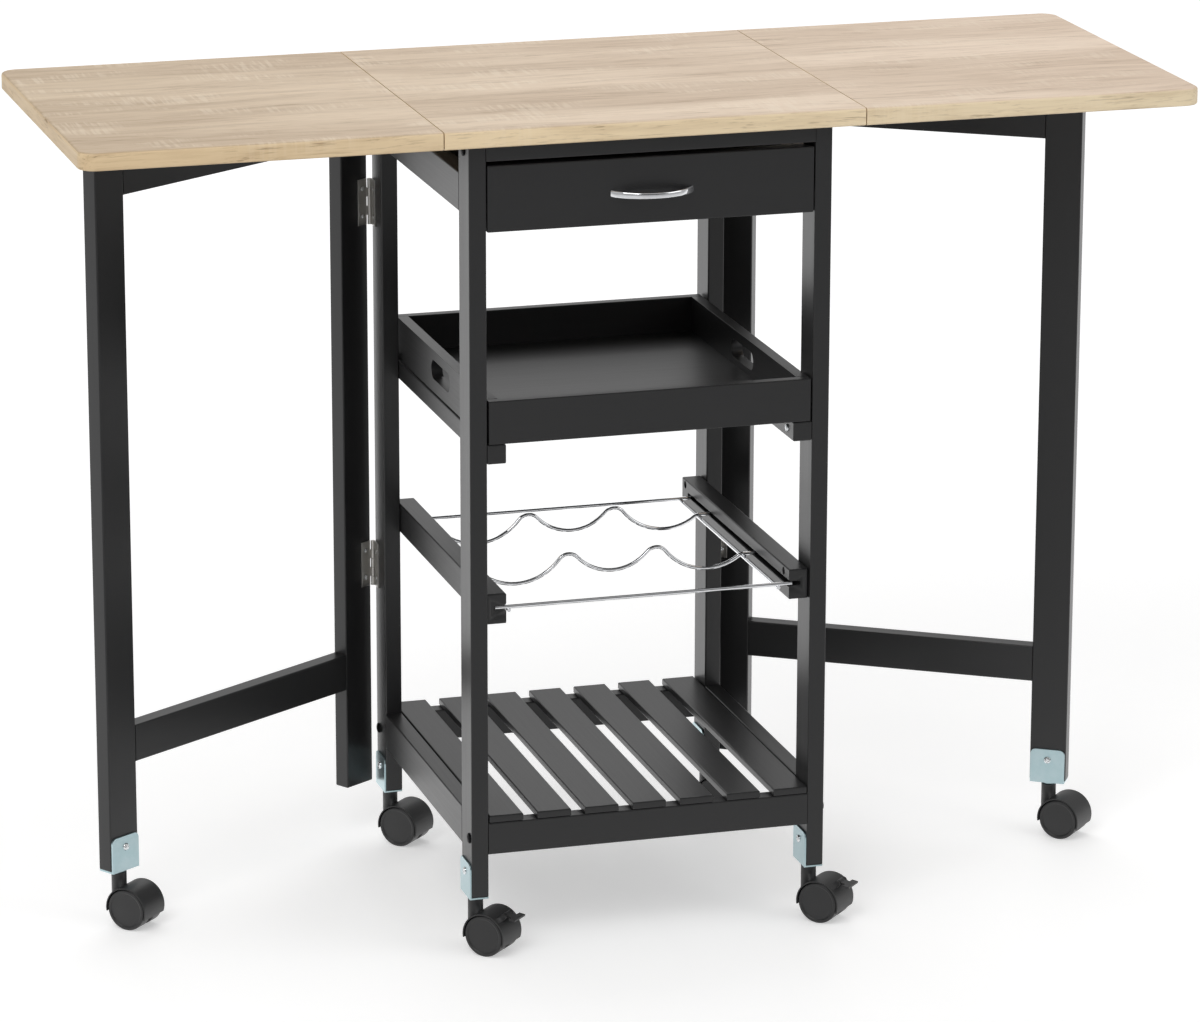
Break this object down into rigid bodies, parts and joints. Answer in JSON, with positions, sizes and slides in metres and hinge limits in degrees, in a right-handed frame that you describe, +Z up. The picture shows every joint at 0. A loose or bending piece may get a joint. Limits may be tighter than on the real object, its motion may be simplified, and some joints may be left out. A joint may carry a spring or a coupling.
{
  "type": "drop leaf kitchen island",
  "caption": "Rolling kitchen island with a drawer, lift-out tray, wire bottle rack, slatted shelf and two drop leaves held up by swinging gates on casters.",
  "frame": {"origin": "on the floor, under the middle of the cart", "axes": "+X to the right along the top, +Y to the back, +Z up; the drawer faces -Y"},
  "size_m": [1.1664, 0.4391, 0.87],
  "materials": {
    "oak_laminate": "satin laminate with a light grey oak grain",
    "black_wood": "smooth satin black paint",
    "chrome_steel": "bright chrome plate",
    "zinc_steel": "bright zinc plate",
    "black_plastic": "fine textured black plastic"
  },
  "bodies": {
    "cart": {"top_centre": "oak_laminate", "leaf_hinge_plates": "zinc_steel", "front_posts": "black_wood", "rear_posts": "black_wood", "top_front_rail": "black_wood", "back_apron": "black_wood", "side_rails": "black_wood", "drawer_runners": "black_wood", "tray_runners": "black_wood", "rack_rails": "black_wood", "shelf_cross_rails": "black_wood", "shelf_slats": "black_wood", "gate_hinge_fixed_leaves": "zinc_steel", "cart_caster_brackets": "zinc_steel", "cart_bolts": "zinc_steel"},
    "leaf_left": {"left_leaf": "oak_laminate", "left_leaf_flaps": "zinc_steel", "left_leaf_screws": "zinc_steel"},
    "leaf_right": {"right_leaf": "oak_laminate", "right_leaf_flaps": "zinc_steel", "right_leaf_screws": "zinc_steel"},
    "gate_left": {"left_gate_posts": "black_wood", "left_gate_rails": "black_wood", "left_gate_hinge_leaves": "zinc_steel", "left_gate_bracket": "zinc_steel", "left_gate_screws": "zinc_steel"},
    "gate_right": {"right_gate_posts": "black_wood", "right_gate_rails": "black_wood", "right_gate_hinge_leaves": "zinc_steel", "right_gate_bracket": "zinc_steel", "right_gate_screws": "zinc_steel"},
    "drawer": {"drawer_front": "black_wood", "drawer_sides": "black_wood", "drawer_back": "black_wood", "drawer_bottom": "black_wood", "drawer_handle": "chrome_steel"},
    "tray": {"tray_side_walls": "black_wood", "tray_end_walls": "black_wood", "tray_base": "black_wood"},
    "bottle_rack": {"wire_rack": "chrome_steel"},
    "caster_front_left": {"front_left_hood": "black_plastic"},
    "wheel_front_left_a": {"front_left_wheel_a": "black_plastic"},
    "wheel_front_left_b": {"front_left_wheel_b": "black_plastic"},
    "pedal_front_left": {"front_left_pedal": "black_plastic"},
    "caster_front_right": {"front_right_hood": "black_plastic"},
    "wheel_front_right_a": {"front_right_wheel_a": "black_plastic"},
    "wheel_front_right_b": {"front_right_wheel_b": "black_plastic"},
    "pedal_front_right": {"front_right_pedal": "black_plastic"},
    "caster_rear_left": {"rear_left_hood": "black_plastic"},
    "wheel_rear_left_a": {"rear_left_wheel_a": "black_plastic"},
    "wheel_rear_left_b": {"rear_left_wheel_b": "black_plastic"},
    "caster_rear_right": {"rear_right_hood": "black_plastic"},
    "wheel_rear_right_a": {"rear_right_wheel_a": "black_plastic"},
    "wheel_rear_right_b": {"rear_right_wheel_b": "black_plastic"},
    "caster_left_gate": {"left_gate_hood": "black_plastic"},
    "wheel_left_gate_a": {"left_gate_wheel_a": "black_plastic"},
    "wheel_left_gate_b": {"left_gate_wheel_b": "black_plastic"},
    "caster_right_gate": {"right_gate_hood": "black_plastic"},
    "wheel_right_gate_a": {"right_gate_wheel_a": "black_plastic"},
    "wheel_right_gate_b": {"right_gate_wheel_b": "black_plastic"}
  },
  "joints": [
    {"name": "left_leaf_lift", "type": "hinge", "parent": "cart", "child": "leaf_left", "pos_m": [-0.2196, 0, 0.8492], "axis": [0, 1, 0], "range_deg": [0, 2.8]},
    {"name": "right_leaf_lift", "type": "hinge", "parent": "cart", "child": "leaf_right", "pos_m": [0.2196, 0, 0.8492], "axis": [0, -1, 0], "range_deg": [0, 2.8]},
    {"name": "left_gate_swing", "type": "hinge", "parent": "cart", "child": "gate_left", "pos_m": [-0.1925, 0.199, 0.31], "axis": [0, 0, 1], "range_deg": [-33, 49]},
    {"name": "right_gate_swing", "type": "hinge", "parent": "cart", "child": "gate_right", "pos_m": [0.1925, 0.199, 0.31], "axis": [0, 0, -1], "range_deg": [-33, 49]},
    {"name": "drawer_slide", "type": "slide", "parent": "cart", "child": "drawer", "axis": [0, -1, 0], "range_m": [0, 0.28]},
    {"name": "tray_slide", "type": "slide", "parent": "cart", "child": "tray", "axis": [0, -1, 0], "range_m": [0, 0.41]},
    {"name": "bottle_rack_slide", "type": "slide", "parent": "cart", "child": "bottle_rack", "axis": [0, -1, 0], "range_m": [0, 0.375]},
    {"name": "front_left_swivel", "type": "hinge", "parent": "cart", "child": "caster_front_left", "pos_m": [-0.181, -0.178, 0.05], "axis": [0, 0, 1], "continuous": true},
    {"name": "front_left_roll_a", "type": "hinge", "parent": "caster_front_left", "child": "wheel_front_left_a", "pos_m": [-0.16721, -0.19179, 0.022], "axis": [0.7071, 0.7071, 0], "continuous": true},
    {"name": "front_left_roll_b", "type": "hinge", "parent": "caster_front_left", "child": "wheel_front_left_b", "pos_m": [-0.16721, -0.19179, 0.022], "axis": [0.7071, 0.7071, 0], "continuous": true},
    {"name": "front_left_brake", "type": "hinge", "parent": "caster_front_left", "child": "pedal_front_left", "pos_m": [-0.1543, -0.2047, 0.04376], "axis": [0.7071, 0.7071, 0], "range_deg": [0, 18]},
    {"name": "front_right_swivel", "type": "hinge", "parent": "cart", "child": "caster_front_right", "pos_m": [0.181, -0.178, 0.05], "axis": [0, 0, 1], "continuous": true},
    {"name": "front_right_roll_a", "type": "hinge", "parent": "caster_front_right", "child": "wheel_front_right_a", "pos_m": [0.19479, -0.19179, 0.022], "axis": [0.7071, 0.7071, 0], "continuous": true},
    {"name": "front_right_roll_b", "type": "hinge", "parent": "caster_front_right", "child": "wheel_front_right_b", "pos_m": [0.19479, -0.19179, 0.022], "axis": [0.7071, 0.7071, 0], "continuous": true},
    {"name": "front_right_brake", "type": "hinge", "parent": "caster_front_right", "child": "pedal_front_right", "pos_m": [0.2077, -0.2047, 0.04376], "axis": [0.7071, 0.7071, 0], "range_deg": [0, 18]},
    {"name": "rear_left_swivel", "type": "hinge", "parent": "cart", "child": "caster_rear_left", "pos_m": [-0.181, 0.178, 0.05], "axis": [0, 0, 1], "continuous": true},
    {"name": "rear_left_roll_a", "type": "hinge", "parent": "caster_rear_left", "child": "wheel_rear_left_a", "pos_m": [-0.16721, 0.16421, 0.022], "axis": [0.7071, 0.7071, 0], "continuous": true},
    {"name": "rear_left_roll_b", "type": "hinge", "parent": "caster_rear_left", "child": "wheel_rear_left_b", "pos_m": [-0.16721, 0.16421, 0.022], "axis": [0.7071, 0.7071, 0], "continuous": true},
    {"name": "rear_right_swivel", "type": "hinge", "parent": "cart", "child": "caster_rear_right", "pos_m": [0.181, 0.178, 0.05], "axis": [0, 0, 1], "continuous": true},
    {"name": "rear_right_roll_a", "type": "hinge", "parent": "caster_rear_right", "child": "wheel_rear_right_a", "pos_m": [0.19479, 0.16421, 0.022], "axis": [0.7071, 0.7071, 0], "continuous": true},
    {"name": "rear_right_roll_b", "type": "hinge", "parent": "caster_rear_right", "child": "wheel_rear_right_b", "pos_m": [0.19479, 0.16421, 0.022], "axis": [0.7071, 0.7071, 0], "continuous": true},
    {"name": "left_gate_swivel", "type": "hinge", "parent": "gate_left", "child": "caster_left_gate", "pos_m": [-0.5183, 0.00114, 0.05], "axis": [0, 0, 1], "continuous": true},
    {"name": "left_gate_roll_a", "type": "hinge", "parent": "caster_left_gate", "child": "wheel_left_gate_a", "pos_m": [-0.50451, -0.01265, 0.022], "axis": [0.7071, 0.7071, 0], "continuous": true},
    {"name": "left_gate_roll_b", "type": "hinge", "parent": "caster_left_gate", "child": "wheel_left_gate_b", "pos_m": [-0.50451, -0.01265, 0.022], "axis": [0.7071, 0.7071, 0], "continuous": true},
    {"name": "right_gate_swivel", "type": "hinge", "parent": "gate_right", "child": "caster_right_gate", "pos_m": [0.5183, 0.00114, 0.05], "axis": [0, 0, 1], "continuous": true},
    {"name": "right_gate_roll_a", "type": "hinge", "parent": "caster_right_gate", "child": "wheel_right_gate_a", "pos_m": [0.53209, -0.01265, 0.022], "axis": [0.7071, 0.7071, 0], "continuous": true},
    {"name": "right_gate_roll_b", "type": "hinge", "parent": "caster_right_gate", "child": "wheel_right_gate_b", "pos_m": [0.53209, -0.01265, 0.022], "axis": [0.7071, 0.7071, 0], "continuous": true}
  ]
}
